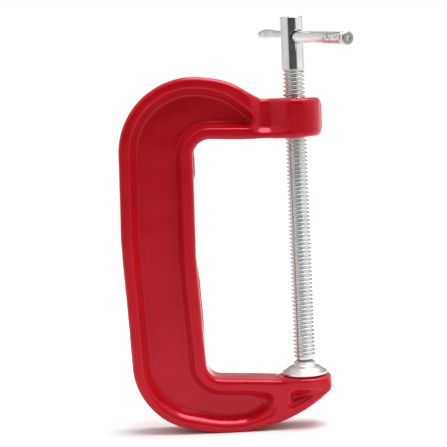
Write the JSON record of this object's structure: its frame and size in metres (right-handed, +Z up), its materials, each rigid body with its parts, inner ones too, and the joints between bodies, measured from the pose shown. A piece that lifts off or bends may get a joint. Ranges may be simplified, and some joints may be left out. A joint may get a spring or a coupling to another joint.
{
  "type": "c clamp",
  "caption": "C-shaped cast frame with a threaded boss over an anvil; a T-handled screw drives a swivel pad down to grip work between the jaws.",
  "frame": {"origin": "centre of the anvil face on the lower jaw, on the screw's axis", "axes": "+Z up along the screw's axis towards its handle, +X from the frame's spine towards the screw, +Y out of the frame's back side"},
  "size_m": [0.0821, 0.0491, 0.1459],
  "materials": {
    "red_enamel": "gloss baked enamel over cast iron",
    "zinc_plate": "bright zinc plating over turned and rolled steel",
    "polished_steel": "turned and polished, bright plated"
  },
  "bodies": {
    "frame": {"clamp_frame": "red_enamel"},
    "ball": {"screw_ball_tip": "zinc_plate"},
    "screw": {"clamp_screw": "zinc_plate"},
    "bar": {"handle_bar": "zinc_plate"},
    "pad": {"swivel_pad": "polished_steel"}
  },
  "joints": [
    {"name": "screw_travel", "type": "slide", "parent": "frame", "child": "ball", "axis": [0, 0, 1], "range_m": [0, 0.0796]},
    {"name": "screw_spin", "type": "hinge", "parent": "ball", "child": "screw", "pos_m": [0, 0, 0.05], "axis": [0, 0, 1], "range_deg": [0, 20230]},
    {"name": "bar_slide", "type": "slide", "parent": "screw", "child": "bar", "axis": [0.4992, -0.8646, -0.0576], "range_m": [-0.028, 0.0053]},
    {"name": "pad_tilt", "type": "hinge", "parent": "ball", "child": "pad", "pos_m": [0, 0, 0.0033], "axis": [0, 1, 0], "range_deg": [-3, 3]}
  ],
  "couplings": [
    {"joint": "screw_travel", "follows": "screw_spin", "m_per_rad": 0.00022459}
  ]
}
